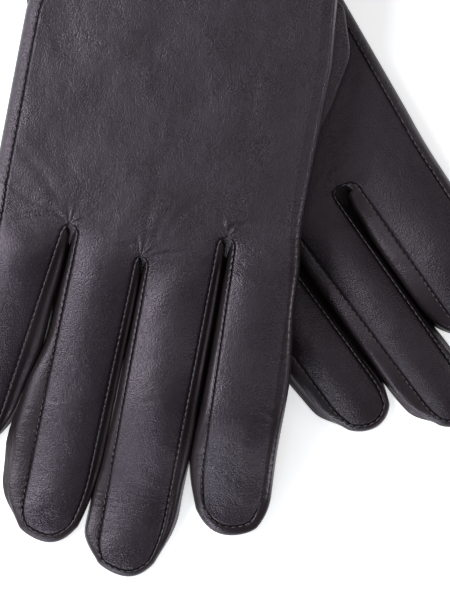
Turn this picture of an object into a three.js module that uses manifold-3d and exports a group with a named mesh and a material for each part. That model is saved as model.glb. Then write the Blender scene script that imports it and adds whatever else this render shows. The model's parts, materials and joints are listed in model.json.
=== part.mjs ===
// A crossed pair of leather dress gloves: the right glove lies back up over the left glove,
// which lies palm up. Millimetres, +Z up, the surface that the pair lies on is z = 0.
import * as THREE from 'three';
import * as BufferGeometryUtils from 'three/addons/utils/BufferGeometryUtils.js';
import Module from 'manifold-3d';

const wasm = await Module();
wasm.setup();

// ---- Driving dimensions ----
const LEATHER = 0.9;            // thickness of the outer leather
const LINING = 0.5;             // thickness of the lining
const CLEARANCE = 0.3;          // gap between pieces that touch
const SEAM_GAP = 0.2;           // each piece stops this far short of a seam line
const HAND_THICKNESS = 9.5;     // an empty hand, lying flat
const HAND_CROWN = 2;           // rise of the upper face between the edges and the middle
const FINGER_CROWN = 1.7;
const FINGER_BELLY = 1;         // a finger is this much thicker at its middle than at its root
const TIP_THICKNESS = 5;
const TIP_LENGTH = 15;          // length of the rounded end of a finger
const CUFF_Y = 148;             // cuff end, from the middle of the knuckles
const HEM_WIDTH = 15;
const HEM_THICKNESS = 0.8;
const THUMB_THICKNESS = 4.6;    // the folded thumb between the two gloves
const UPPER_Z = 14.7;           // underside of the upper glove's hand
const WALL_BULGE = 2;           // a side wall follows sin(bulge * fraction down the wall)
const FINGER_STATIONS = [0, 0.16, 0.34, 0.52, 0.7, 0.86, 0.95, 0.99];
const TOP_STEPS = 4;
const WALL_STEPS = 2;
const BOTTOM_STEPS = 3;

// The stretches of a section, clockwise from its upper left seam.
const SPANS = ['top', 'right', 'bottom', 'left'];

// Each glove's own frame has x towards the index side and y towards the cuff. Every finger is
// [x, y] of the middle of its top strip at the root and at the tip, the half width of that strip
// at the root and near the tip, how far the left and right side walls stand out beyond the strip
// at the root and near the tip, and the height of its underside as [fraction, z] stops.
const RIGHT = {
  name: 'right',
  x: -24.7,
  y: 18.4,
  turn: -10.7,
  base: UPPER_Z,
  knuckle: -4,
  top: 'back',
  bottom: 'palm',
  edges: { leftSeam: 4, rightSeam: 4 },
  drawnIn: 0,
  fingers: {
    index: {
      root: [37.2, -4], tip: [41.2, -81.6], half: [10.2, 8.6], left: [2.6, 4.5], right: [0.4, 0.8],
      rise: [[0, 14.7], [0.6, 11.4], [1, 1.5]],
    },
    middle: {
      root: [13, -4], tip: [13, -99.3], half: [9.4, 9.2], left: [2.6, 3.9], right: [0.3, 2.1],
      rise: [[0, 14.7], [0.3, 12.4], [0.85, 0], [1, 0]],
    },
    ring: {
      root: [-9.4, -4], tip: [-12.1, -94], half: [8.9, 8.6], left: [2.6, 6.6], right: [0.3, 1.4],
      rise: [[0, 14.7], [0.8, 0], [1, 0]],
    },
    little: {
      root: [-32.7, -4], tip: [-44, -72], half: [9.4, 7.8], left: [3.9, 4], right: [0.3, 2.2],
      rise: [[0, 14.7], [0.8, 0], [1, 0]],
    },
  },
  thumb: {
    root: [38.5, 76], tip: [27, 10], across: [0.985, -0.172], half: [10.8, 9.6],
    base: HAND_THICKNESS + CLEARANCE, thickness: THUMB_THICKNESS, crown: 0.6,
  },
  thumbHole: { x: [24, 40], y: [50, 73], z: [-1, 4] },
};

const LEFT = {
  name: 'left',
  x: 9.5,
  y: 42.2,
  turn: 29.9,
  base: 0,
  knuckle: -22,
  top: 'palm',
  bottom: 'back',
  edges: { leftSeam: 4, rightSeam: 2.7 },
  drawnIn: 9,
  fingers: {
    index: {
      root: [32.4, -22], tip: [37.5, -81.4], half: [10.6, 9], left: [4.2, 4.4], right: [2.7, 2.7],
    },
    middle: {
      root: [6.4, -22], tip: [13.6, -99.3], half: [7.2, 7], left: [3.8, 4.6], right: [2.4, 3],
    },
    ring: {
      root: [-16.4, -22], tip: [-9, -87.2], half: [7.4, 7.2], left: [3.2, 4.6], right: [2.2, 2.2],
    },
    little: {
      root: [-37.6, -22], tip: [-37, -68], half: [7.8, 7], left: [2.4, 2.4], right: [2.2, 2.2],
    },
  },
  thumb: {
    root: [47, 56], tip: [97, 21], across: [0, 1], half: [14.4, 11.8],
    base: 0, thickness: HAND_THICKNESS, crown: FINGER_CROWN,
  },
  thumbHole: { x: [36, 60], y: [46, 66], z: [2.4, 6.6] },
};

// ---- Small helpers ----
const mix = (a, b, t) => a + (b - a) * t;

function ease(t) {
  const c = Math.min(Math.max(t, 0), 1);
  return c * c * (3 - 2 * c);
}

function unit(from, to) {
  const length = Math.hypot(to[0] - from[0], to[1] - from[1]);
  return [(to[0] - from[0]) / length, (to[1] - from[1]) / length];
}

function heightAt(stops, t) {
  for (let i = 1; i < stops.length; i += 1) {
    const [t0, z0] = stops[i - 1];
    const [t1, z1] = stops[i];
    if (t <= t1) return mix(z0, z1, ease((t - t0) / (t1 - t0)));
  }
  return stops[stops.length - 1][1];
}

// A flattened section, clockwise from its upper left seam: four stretches of points [q, z].
function section({ halfLeft, halfRight, left, right, height, crown }, steps) {
  const middle = (halfRight - halfLeft) / 2;
  const half = (halfRight + halfLeft) / 2;
  const edge = height - crown;
  const wallEnd = Math.sin(WALL_BULGE);
  const spans = { top: [], right: [], bottom: [], left: [] };
  for (let i = 0; i <= steps.top; i += 1) {
    const u = mix(-1, 1, i / steps.top);
    spans.top.push([middle + half * u, edge + crown * (1 - u * u)]);
  }
  for (let i = 0; i <= steps.wall; i += 1) {
    const w = i / steps.wall;
    spans.right.push([halfRight + right * Math.sin(WALL_BULGE * w), edge * (1 - w)]);
    spans.left.push([-halfLeft - left * Math.sin(WALL_BULGE * (1 - w)), edge * w]);
  }
  for (let i = 0; i <= steps.bottom; i += 1) {
    const q = mix(halfRight + right * wallEnd, -halfLeft - left * wallEnd, i / steps.bottom);
    spans.bottom.push([q, 0]);
  }
  return spans;
}

// The closed outline of a section, with the inward normal at each point and the places of the
// seams between its stretches.
function outline(spans) {
  const points = [];
  const starts = {};
  for (const name of SPANS) {
    starts[name] = points.length;
    points.push(...spans[name].slice(0, -1));
  }
  const count = points.length;
  const inward = points.map((point, i) => {
    const before = unit(points[(i + count - 1) % count], point);
    const after = unit(point, points[(i + 1) % count]);
    const [dq, dz] = unit([0, 0], [before[0] + after[0], before[1] + after[1]]);
    return [dz, -dq];
  });
  return { points, inward, starts };
}

// The stretch of an outline from one seam to the next, stopping short of both seams. A whole
// outline is the stretch that starts and ends nowhere.
function stretch({ points, inward, starts }, names) {
  const count = points.length;
  if (!names) return points.map((point, i) => ({ point, inward: inward[i] }));
  const first = starts[names[0]];
  const next = SPANS[(SPANS.indexOf(names[names.length - 1]) + 1) % SPANS.length];
  const steps = (starts[next] - first + count - 1) % count + 1;
  const run = [];
  for (let i = 0; i <= steps; i += 1) {
    const at = (first + i) % count;
    run.push({ point: [...points[at]], inward: inward[at] });
  }
  shorten(run[0], run[1]);
  shorten(run[run.length - 1], run[run.length - 2]);
  return run;
}

function shorten(end, towards) {
  const [dq, dz] = unit(end.point, towards.point);
  end.point[0] += dq * SEAM_GAP;
  end.point[1] += dz * SEAM_GAP;
}

// A sheet of leather or lining between two offsets of the same stations. Each station is a
// section and the function that places a section point in space.
function sheet(stations, names, outside, thickness, capped = false) {
  const rings = [[], []];
  for (const station of stations) {
    const run = stretch(station.outline, names);
    [outside, outside + thickness].forEach((depth, layer) => {
      rings[layer].push(run.map(({ point, inward }) => station.place(
        point[0] + inward[0] * depth,
        point[1] + inward[1] * depth,
      )));
    });
  }
  const closed = !names;
  const rows = rings[0].length;
  const columns = rings[0][0].length;
  const position = rings.flat(2).flatMap((p) => p);
  const index = [];
  const at = (layer, row, column) => (layer * rows + row) * columns + (column % columns);
  const quad = (a, b, c, d) => index.push(a, b, c, a, c, d);
  const spans = closed ? columns : columns - 1;
  for (let r = 0; r < rows - 1; r += 1) {
    for (let c = 0; c < spans; c += 1) {
      quad(at(0, r, c), at(0, r + 1, c), at(0, r + 1, c + 1), at(0, r, c + 1));
      quad(at(1, r, c), at(1, r, c + 1), at(1, r + 1, c + 1), at(1, r + 1, c));
    }
  }
  for (let c = 0; c < spans; c += 1) {
    quad(at(0, 0, c), at(0, 0, c + 1), at(1, 0, c + 1), at(1, 0, c));
    if (!capped) {
      quad(at(0, rows - 1, c), at(1, rows - 1, c), at(1, rows - 1, c + 1), at(0, rows - 1, c + 1));
    }
  }
  if (capped) capEnds(position, index, at, rows, columns, thickness);
  if (!closed) {
    for (let r = 0; r < rows - 1; r += 1) {
      quad(at(0, r, 0), at(1, r, 0), at(1, r + 1, 0), at(0, r + 1, 0));
      const e = columns - 1;
      quad(at(0, r, e), at(0, r + 1, e), at(1, r + 1, e), at(1, r, e));
    }
  }
  return solid(position, index);
}

// Closes the far end of a tube with an outer and an inner cap, which leaves its mouth open.
function capEnds(position, index, at, rows, columns, thickness) {
  for (const layer of [0, 1]) {
    const middle = [0, 0, 0];
    const towards = [0, 0, 0];
    for (let c = 0; c < columns; c += 1) {
      for (let k = 0; k < 3; k += 1) {
        const here = position[at(layer, rows - 1, c) * 3 + k];
        middle[k] += here / columns;
        towards[k] += (here - position[at(layer, rows - 2, c) * 3 + k]) / columns;
      }
    }
    const length = Math.hypot(...towards);
    const push = layer === 0 ? thickness : 0;
    const centre = position.length / 3;
    position.push(...middle.map((m, k) => m + (towards[k] / length) * push));
    for (let c = 0; c < columns; c += 1) {
      const a = at(layer, rows - 1, c);
      const b = at(layer, rows - 1, c + 1);
      if (layer === 0) index.push(a, centre, b);
      else index.push(b, centre, a);
    }
  }
}

// A geometry whose faces point outwards, whichever way round it was wound.
function solid(position, index) {
  let volume = 0;
  const p = (i) => new THREE.Vector3(position[i * 3], position[i * 3 + 1], position[i * 3 + 2]);
  for (let i = 0; i < index.length; i += 3) {
    volume += p(index[i]).dot(p(index[i + 1]).cross(p(index[i + 2])));
  }
  if (volume < 0) {
    for (let i = 0; i < index.length; i += 3) {
      [index[i], index[i + 1]] = [index[i + 1], index[i]];
    }
  }
  const geometry = new THREE.BufferGeometry();
  geometry.setAttribute('position', new THREE.Float32BufferAttribute(position, 3));
  geometry.setIndex(index);
  return geometry;
}

function toManifold(geometry) {
  const bare = geometry.clone();
  bare.deleteAttribute('normal');
  bare.deleteAttribute('uv');
  const merged = BufferGeometryUtils.mergeVertices(bare, 1e-4);
  return new wasm.Manifold(new wasm.Mesh({
    numProp: 3,
    vertProperties: new Float32Array(merged.attributes.position.array),
    triVerts: new Uint32Array(merged.index.array),
  }));
}

function cutBox(geometry, hole, base) {
  const size = ['x', 'y', 'z'].map((k) => hole[k][1] - hole[k][0]);
  const box = new THREE.BoxGeometry(...size);
  box.translate(
    mix(hole.x[0], hole.x[1], 0.5),
    mix(hole.y[0], hole.y[1], 0.5),
    mix(hole.z[0], hole.z[1], 0.5) + base,
  );
  const mesh = toManifold(geometry).subtract(toManifold(box)).getMesh();
  const cut = new THREE.BufferGeometry();
  cut.setAttribute('position', new THREE.Float32BufferAttribute(mesh.vertProperties, 3));
  cut.setIndex([...mesh.triVerts]);
  return cut;
}

// ---- Materials ----
const leather = () => new THREE.MeshStandardMaterial({ color: 0x2b2628, roughness: 0.42, metalness: 0 });
const sideLeather = () => new THREE.MeshStandardMaterial({ color: 0x332d2e, roughness: 0.5, metalness: 0 });
const hemLeather = () => new THREE.MeshStandardMaterial({ color: 0x241f20, roughness: 0.6, metalness: 0 });
const cloth = () => new THREE.MeshStandardMaterial({ color: 0x17161a, roughness: 0.9, metalness: 0 });

function piece(name, geometry, material) {
  const mesh = new THREE.Mesh(geometry, material);
  mesh.name = name;
  return mesh;
}

// ---- Stations ----
// The sections of one finger, from just past the knuckle to the tip.
function fingerStations(glove, finger, from, to) {
  const steps = { top: TOP_STEPS, wall: WALL_STEPS, bottom: BOTTOM_STEPS };
  const length = finger.root[1] - finger.tip[1];
  const start = from / length;
  return FINGER_STATIONS.filter((t) => t <= to).map((fraction) => {
    const t = Math.max(fraction, start);
    const rounding = Math.max(0, 1 - ((1 - t) * length) / TIP_LENGTH);
    const round = Math.sqrt(1 - rounding * rounding);
    const fill = ease(t / 0.6);
    const belly = HAND_THICKNESS + FINGER_BELLY * ease((t - 0.2) / 0.3);
    const height = mix(belly, TIP_THICKNESS, ease((t - 0.6) / 0.4));
    const half = mix(finger.half[0], finger.half[1], t) * round;
    const dims = {
      halfLeft: half,
      halfRight: half,
      left: mix(finger.left[0], finger.left[1], fill) * mix(0.55, 1, round),
      right: mix(finger.right[0], finger.right[1], fill) * mix(0.55, 1, round),
      height,
      crown: FINGER_CROWN * mix(0.5, 1, round),
    };
    const x = mix(finger.root[0], finger.tip[0], t);
    const y = mix(finger.root[1], finger.tip[1], t);
    const z = finger.rise ? heightAt(finger.rise, t) : glove.base;
    return { outline: outline(section(dims, steps)), place: (q, h) => [x + q, y, z + h] };
  });
}

// The hand narrows to the wrist and opens a little to the cuff. Each row is [y, half width,
// share of the glove's drawnIn by which the left edge is drawn in there].
const HAND_WIDTHS = [
  [CUFF_Y, 44, 1], [CUFF_Y - HEM_WIDTH, 43.2, 1], [114, 42.2, 1], [95, 42, 1], [78, 44, 1],
  [60, 46, 0.5], [42, 46, 0], [-30, 46, 0],
];

function handWidth(y) {
  const next = HAND_WIDTHS.findIndex(([stop]) => stop < y);
  const [y0, w0, share0] = HAND_WIDTHS[Math.max(next - 1, 0)];
  const [y1, w1, share1] = HAND_WIDTHS[next];
  const t = (y - y0) / (y1 - y0);
  return { half: mix(w0, w1, t), drawn: mix(share0, share1, t) };
}

// The sections of a hand piece at its two ends and at each change of width between them.
function handStations(glove, from, to) {
  const steps = { top: 6, wall: WALL_STEPS, bottom: 4 };
  const stations = [];
  const between = HAND_WIDTHS.map(([y]) => y).filter((y) => y < from && y > to);
  for (const y of [from, ...between, to]) {
    const { half, drawn } = handWidth(y);
    const dims = {
      halfLeft: half - glove.edges.leftSeam - drawn * glove.drawnIn,
      halfRight: half - glove.edges.rightSeam,
      left: glove.edges.leftSeam,
      right: glove.edges.rightSeam,
      height: HAND_THICKNESS,
      crown: HAND_CROWN,
    };
    stations.push({
      outline: outline(section(dims, steps)),
      place: (q, h) => [q, y, glove.base + h],
    });
  }
  return stations;
}

// The thumb is one folded cut, sewn along its left side.
function thumbStations(glove, to) {
  const { root, tip, across, half, base, thickness, crown } = glove.thumb;
  const steps = { top: TOP_STEPS, wall: WALL_STEPS, bottom: BOTTOM_STEPS };
  const length = Math.hypot(tip[0] - root[0], tip[1] - root[1]);
  return FINGER_STATIONS.filter((t) => t <= to).map((t) => {
    const rounding = Math.max(0, 1 - ((1 - t) * length) / TIP_LENGTH);
    const round = Math.sqrt(1 - rounding * rounding);
    const swell = 1 + 0.2 * Math.sin(Math.PI * Math.min(t / 0.7, 1));
    const width = mix(half[0], half[1], t) * swell * round;
    const dims = {
      halfLeft: width,
      halfRight: width,
      left: 0.8,
      right: 0.8,
      height: thickness * mix(0.7, 1, round),
      crown: crown * mix(0.5, 1, round),
    };
    const x = mix(root[0], tip[0], t);
    const y = mix(root[1], tip[1], t);
    return {
      outline: outline(section(dims, steps)),
      place: (q, h) => [x + q * across[0], y + q * across[1], base + h],
    };
  });
}

// ---- Pieces ----
// Which stretches of each finger's section belong to its back, palm and fourchettes. The back
// cut wraps round the index edge and the palm cut round the little-finger edge.
function fingerCuts(glove, name) {
  const cuts = { [glove.top]: ['top'], [glove.bottom]: ['bottom'] };
  if (name === 'index') {
    if (glove.top === 'back') cuts.back = ['top', 'right'];
    else cuts.back = ['right', 'bottom'];
    cuts.fourchette = ['left'];
  } else if (name === 'little') {
    if (glove.top === 'back') cuts.palm = ['bottom', 'left'];
    else cuts.palm = ['left', 'top'];
    cuts.fourchette = ['right'];
  } else {
    cuts.fourchette_index_side = ['right'];
    cuts.fourchette_little_side = ['left'];
  }
  return cuts;
}

function makeFinger(glove, name) {
  const finger = glove.fingers[name];
  const leatherStations = fingerStations(glove, finger, CLEARANCE, 1);
  const group = new THREE.Group();
  for (const [cut, spans] of Object.entries(fingerCuts(glove, name))) {
    const material = cut.startsWith('fourchette') ? sideLeather() : leather();
    group.add(piece(`${glove.name}_${name}_${cut}`, sheet(leatherStations, spans, 0, LEATHER), material));
  }
  const inner = fingerStations(glove, finger, CLEARANCE, 0.9);
  const lining = sheet(inner, null, LEATHER + CLEARANCE, LINING, true);
  group.add(piece(`${glove.name}_lining_${name}`, lining, cloth()));
  return group;
}

function makeHand(glove) {
  const group = new THREE.Group();
  const stations = handStations(glove, CUFF_Y, glove.knuckle + CLEARANCE);
  const cuts = glove.top === 'back'
    ? { back: ['top', 'right'], palm: ['bottom', 'left'] }
    : { back: ['right', 'bottom'], palm: ['left', 'top'] };
  for (const [cut, spans] of Object.entries(cuts)) {
    const panel = cutBox(sheet(stations, spans, 0, LEATHER), glove.thumbHole, glove.base);
    group.add(piece(`${glove.name}_hand_${cut}`, panel, leather()));
  }
  const hemEnd = CUFF_Y - HEM_WIDTH;
  const hem = sheet(handStations(glove, CUFF_Y, hemEnd), null, LEATHER + CLEARANCE, HEM_THICKNESS);
  group.add(piece(`${glove.name}_cuff_hem`, hem, hemLeather()));
  const inner = handStations(glove, hemEnd - CLEARANCE, glove.knuckle + CLEARANCE);
  const lining = sheet(inner, null, LEATHER + CLEARANCE, LINING);
  group.add(piece(`${glove.name}_lining_hand`, cutBox(lining, glove.thumbHole, glove.base), cloth()));
  return group;
}

function makeThumb(glove) {
  const group = new THREE.Group();
  const leatherSpans = ['top', 'right', 'bottom', 'left'];
  const outer = sheet(thumbStations(glove, 1), leatherSpans, 0, LEATHER);
  group.add(piece(`${glove.name}_thumb`, outer, leather()));
  const lining = sheet(thumbStations(glove, 0.9), null, LEATHER + CLEARANCE, LINING, true);
  group.add(piece(`${glove.name}_lining_thumb`, lining, cloth()));
  return group;
}

function makeGlove(glove) {
  const group = new THREE.Group();
  group.add(makeHand(glove), makeThumb(glove));
  for (const name of Object.keys(glove.fingers)) {
    group.add(makeFinger(glove, name));
  }
  group.rotation.z = THREE.MathUtils.degToRad(glove.turn);
  group.position.set(glove.x, glove.y, 0);
  return group;
}

// ---- The pair, with its origin at the middle of its underside ----
const pair = new THREE.Group();
pair.add(makeGlove(LEFT), makeGlove(RIGHT));
pair.updateMatrixWorld(true);
const middle = new THREE.Box3().setFromObject(pair, true).getCenter(new THREE.Vector3());
pair.position.set(-middle.x, -middle.y, 0);

export default pair;
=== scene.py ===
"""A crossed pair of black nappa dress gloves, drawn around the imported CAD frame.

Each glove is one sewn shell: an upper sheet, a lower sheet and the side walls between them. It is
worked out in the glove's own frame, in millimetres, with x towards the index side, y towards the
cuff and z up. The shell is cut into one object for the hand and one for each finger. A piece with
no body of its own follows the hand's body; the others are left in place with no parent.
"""
import json
import math

import bpy
import numpy as np
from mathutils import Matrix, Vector

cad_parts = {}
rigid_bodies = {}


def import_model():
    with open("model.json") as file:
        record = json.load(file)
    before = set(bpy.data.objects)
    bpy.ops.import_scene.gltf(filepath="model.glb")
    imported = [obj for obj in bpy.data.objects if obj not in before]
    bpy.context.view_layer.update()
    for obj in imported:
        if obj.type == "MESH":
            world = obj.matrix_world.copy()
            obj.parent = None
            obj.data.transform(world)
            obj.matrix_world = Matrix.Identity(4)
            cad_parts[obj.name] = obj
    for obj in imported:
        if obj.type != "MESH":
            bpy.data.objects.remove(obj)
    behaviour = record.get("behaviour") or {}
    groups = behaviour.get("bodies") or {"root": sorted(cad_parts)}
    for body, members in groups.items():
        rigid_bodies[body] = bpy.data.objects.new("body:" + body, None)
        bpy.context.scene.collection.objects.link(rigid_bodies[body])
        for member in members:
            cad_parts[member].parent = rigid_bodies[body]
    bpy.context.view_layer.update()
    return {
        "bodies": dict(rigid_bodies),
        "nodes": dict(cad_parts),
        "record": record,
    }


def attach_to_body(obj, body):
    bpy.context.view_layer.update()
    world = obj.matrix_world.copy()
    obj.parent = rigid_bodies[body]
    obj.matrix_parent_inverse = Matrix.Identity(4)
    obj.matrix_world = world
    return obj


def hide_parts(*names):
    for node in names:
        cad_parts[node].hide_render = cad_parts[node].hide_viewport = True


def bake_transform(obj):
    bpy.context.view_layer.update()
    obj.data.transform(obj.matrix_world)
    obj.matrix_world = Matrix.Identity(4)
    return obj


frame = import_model()
MM = 0.001

# ---- Sizes, in millimetres ----
HAND_THICKNESS = 9.5
HAND_CROWN = 2.0
FINGER_CROWN = 2.6
FINGER_BELLY = 1.0      # a finger is this much thicker at its middle than at its root
TIP_THICKNESS = 5.2
CUFF_Y = 148.0
HAND_WIDTHS = [(-30, 46), (60, 46), (78, 44), (95, 42), (114, 42.2), (133, 43.2), (148, 44)]
DRAWN_SHARE = [(-30, 0), (42, 0), (60, 0.5), (78, 1), (148, 1)]
STAR_DEPTH = 0.17       # height of the star of small folds round the end of a slot
STAR_FOLDS = (9, 15)    # folds in a full turn, in two sets
SLOT_END = 3.0          # length of the rounded end of a slot
ROOT_ABOVE = 4          # a finger's own height starts this far above its slots
ROOT_LENGTH = 17        # and has taken over from the hand's this much further on
OVERLAP = 0.3           # the hidden lower halves of two walls overlap by this much each
MOST_HIDDEN = 1.9       # and stand out at most this much further than the upper halves
GROOVE = 0.72           # depth of a seam below the leather beside it
GROOVE_REACH = 0.8      # the leather starts to turn down this far from the seam
STITCH_PITCH = 2.1
STITCH_LENGTH = 1.35
THREAD = 0.14           # radius of the sewing thread
HEM_INSET = 2.1         # how far inside the cuff the turned hem lies
HEM_DEPTH = 16.0
LINING_INSET = 1.4
LINING_SIDE = 2.4       # the hand's lining stays this far inside the hand's edges
LINING_SPARE = 0.8      # and this far below the full thickness
HEM_STITCHES = 12.0     # the hem is sewn down this far from the cuff's edge
ORDER = ["little", "ring", "middle", "index"]

# Every finger has the middle and the half width of its upper strip at the root and the tip. left
# and right say how far the side wall stands out beyond the strip, as (y, width) stops. reach is
# how far from the tip the strip's left and right seams start to turn, and lip is the width of the
# wall that shows round the tip. rise is the height of the finger's underside. crown is how much the
# strip is rounded across, and lean is how far its right edge sinks and its left edge rises.
RIGHT = {
    "name": "right",
    "base": 14.7,
    "split": 8.0,
    "anchors": [("right_little_knuckle", (-32.7, -4.1)), ("right_index_knuckle", (37.2, -4.1))],
    "seam": {"left": 1.0, "right": 0.0},
    "drawn_in": 0.0,
    "ridge": 0.65,
    "slots": [(-21.4, 0.0), (0.9, -5.4), (25.1, 4.8)],
    "bend": (-6.0, -20.0),
    "edge": {"left": [(40, 4.0), (0, 4.0)], "right": [(30, 4.2), (8, 3.4)]},
    "knuckle": -4.0,
    # stations of (t, x, y, angle of its width, half width, low, high)
    "thumb": [
        (0, 34.5, 82, 0, 10.5, 10.0, 14.2), (0.23, 37.6, 65, 0, 13.3, 9.9, 14.3),
        (0.46, 34.6, 48, 0, 13.4, 9.9, 14.3), (0.6, 32.2, 38, 0, 13.1, 9.9, 14.3),
        (0.84, 26.8, 20, 0, 11.4, 9.9, 14.3), (1, 25.0, 8, 0, 9.5, 10.1, 14.1),
    ],
    "thumb_seam": 3.1,
    "thumb_bend": ((37, 74), (34, 52)),
    "fingers": {
        "index": {
            "root": (36.8, -4), "tip": (40.4, -79.6), "half": (8.8, 9.3), "reach": (20, 11), "lip": 2.8,
            "crown": 1.9, "lean": 1.5,
            "left": [(5, 1.6), (-19, 2.0), (-42, 2.8), (-64, 4.6), (-76, 5.0)],
            "right": [(8, 3.4), (-10, 2.3), (-34, 3.8), (-57, 2.9), (-72, 3.0)],
            "rise": [(0, 14.7), (0.48, 12.3), (1, 1.5)],
        },
        "middle": {
            "root": (13.0, -4), "tip": (13.0, -98.4), "half": (9.4, 9.0), "reach": (9, 19), "lip": 1.8,
            "left": [(0, 1.5), (-50, 1.8), (-66, 3.0), (-80, 5.0), (-87, 5.4), (-96, 3.4)],
            "right": [(4, 2.6), (-25, 3.3), (-45, 3.6), (-58, 4.5), (-70, 3.5), (-84, 3.5)],
            "rise": [(0, 14.7), (0.3, 12.4), (0.85, 0), (1, 0)],
        },
        "ring": {
            "root": (-9.4, -4), "tip": (-11.8, -92.2), "half": (9.0, 8.7), "reach": (9, 21), "lip": 2.3,
            "left": [(0, 1.6), (-30, 2.2), (-52, 6.4), (-62, 7.2), (-78, 6.0), (-90, 3.0)],
            "right": [(-4, 2.3), (-26, 2.8), (-50, 3.2), (-65, 3.5), (-78, 2.7)],
            "rise": [(0, 14.7), (0.8, 0), (1, 0)],
        },
        "little": {
            "root": (-32.7, -4), "tip": (-42.0, -71), "half": (8.9, 8.5), "reach": (12, 14), "lip": 2.4,
            "left": [(0, 4.0), (-60, 3.8)],
            "right": [(0, 2.8), (-19, 4.2), (-37, 5.6), (-52, 4.2), (-65, 3.0)],
            "rise": [(0, 14.7), (0.8, 0), (1, 0)],
        },
    },
}

LEFT = {
    "name": "left",
    "base": 0.0,
    "split": -14.0,
    "anchors": [("left_index_knuckle", (32.4, -22.1)), ("left_thumb_swing", (47, 72))],
    "seam": {"left": 0.0, "right": 1.0},
    "drawn_in": 9.0,
    "ridge": 0.0,
    "slots": [(-27.0, -22.0), (-5.4, -23.5), (16.5, -19.3)],
    "bend": (-24.5, -36.0),
    "edge": {"left": [(40, 4.0), (0, 4.0)], "right": [(40, 3.2), (0, 3.2)]},
    "knuckle": -22.0,
    "thumb": [
        (0, 34, 60, 57, 12.0, 1.6, 6.6), (0.2, 46, 53.5, 57, 13.8, 0.6, 8.0),
        (0.4, 58, 46.0, 57, 14.4, 0.0, 9.4), (0.7, 78, 33.2, 57, 13.6, 0.0, 9.5),
        (1, 97, 21, 57, 11.6, 0.3, 8.8),
    ],
    "thumb_seam": 1.2,
    "thumb_bend": ((40, 58), (58, 46)),
    "fingers": {
        "index": {
            "root": (32.4, -22), "tip": (36.6, -80.2), "half": (10.4, 9.4), "reach": (13, 13), "lip": 2.1,
            "left": [(-19, 3.6), (-28, 5.0), (-40, 5.9), (-60, 6.0), (-76, 4.4)],
            "right": [(0, 3.2), (-70, 2.9)],
        },
        "middle": {
            "root": (6.2, -22), "tip": (14.4, -97.4), "half": (7.7, 6.4), "reach": (10, 12), "lip": 2.1,
            "left": [(-22, 3.6), (-44, 4.9), (-60, 4.8), (-80, 5.2), (-94, 3.0)],
            "right": [(-20, 1.1), (-60, 1.4), (-90, 2.3)],
        },
        "ring": {
            "root": (-16.4, -22), "tip": (-9.2, -85.4), "half": (7.5, 7.4), "reach": (11, 12), "lip": 1.9,
            "left": [(-22, 3.4), (-60, 4.2), (-72, 3.8), (-84, 2.2)],
            "right": [(-23, 1.1), (-60, 1.5), (-80, 2.0)],
        },
        "little": {
            "root": (-37.6, -22), "tip": (-37.0, -66.4), "half": (7.8, 7.2), "reach": (11, 11), "lip": 2.0,
            "left": [(-10, 2.8), (-60, 2.8)],
            "right": [(-22, 1.2), (-60, 2.2)],
        },
    },
}

# Creases worn into the upper sheets: depth, width and the points that each one passes through.
RIGHT_CREASES = [
    (0.20, 1.0, [(-39.1, -1.8), (-32.2, 1.3), (-24.3, 2.5)]),
    (0.22, 1.0, [(3.0, -5.0), (8.1, -3.4), (13.8, -1.7)]),
    (0.22, 0.7, [(-6.5, -2.8), (-1.0, -2.6)]),
    (0.18, 2.2, [(-42.8, 21.2), (-33.1, 14.1), (-24.8, 5.1)]),
    (0.14, 1.6, [(-42.7, 9.2), (-34.3, 4.8), (-25.5, 2.8)]),
    (0.12, 0.9, [(-19.8, -53.1), (-11.8, -51.0), (-4.6, -49.0)]),
    (0.10, 0.8, [(-15.2, -61.5), (-11.1, -60.8), (-7.2, -59.1)]),
    (0.18, 1.0, [(-18.8, -80.2), (-14.2, -82.4), (-8.6, -80.7)]),
    (0.13, 0.9, [(-18.2, -77.0), (-12.6, -79.0)]),
    (0.11, 0.9, [(5.7, -48.3), (11.5, -47.2), (16.5, -45.0)]),
    (0.16, 1.8, [(5.6, 0.3), (10.0, 8.7), (15.2, 12.7)]),
    (0.16, 1.4, [(3.6, -0.5), (5.6, 7.0), (8.0, 12.0)]),
    (0.35, 1.1, [(42.6, 7.0), (46.0, 8.9), (48.0, 10.7)]),
    (0.30, 0.9, [(43.6, 10.2), (47.0, 12.6)]),
    (0.26, 0.9, [(44.0, 13.6), (47.0, 15.4)]),
    (0.26, 1.0, [(24.1, 6.3), (26.2, 8.4), (30.2, 9.8)]),
    (0.28, 1.2, [(44.4, -43.4), (48.8, -45.5), (51.3, -44.5)]),
    (0.22, 1.0, [(45.0, -47.6), (50.8, -48.6)]),
    (0.16, 2.0, [(-44.9, 44.8), (-42.0, 33.0), (-41.0, 20.0)]),
]
LEFT_CREASES = [
    (0.30, 1.1, [(43.9, -8.2), (39.5, -8.8), (35.3, -8.4)]),
    (0.26, 1.0, [(42.4, -12.5), (38.1, -11.1), (35.4, -9.8)]),
    (0.30, 1.2, [(26.1, -4.2), (24.7, -8.4), (22.0, -13.7)]),
    (0.24, 1.0, [(28.0, -3.0), (27.0, -8.0), (25.0, -12.0)]),
    (0.24, 1.2, [(13.2, -16.4), (16.5, -13.8), (21.0, -13.6)]),
    (0.18, 1.1, [(12.0, -13.6), (17.0, -11.4)]),
]
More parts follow.
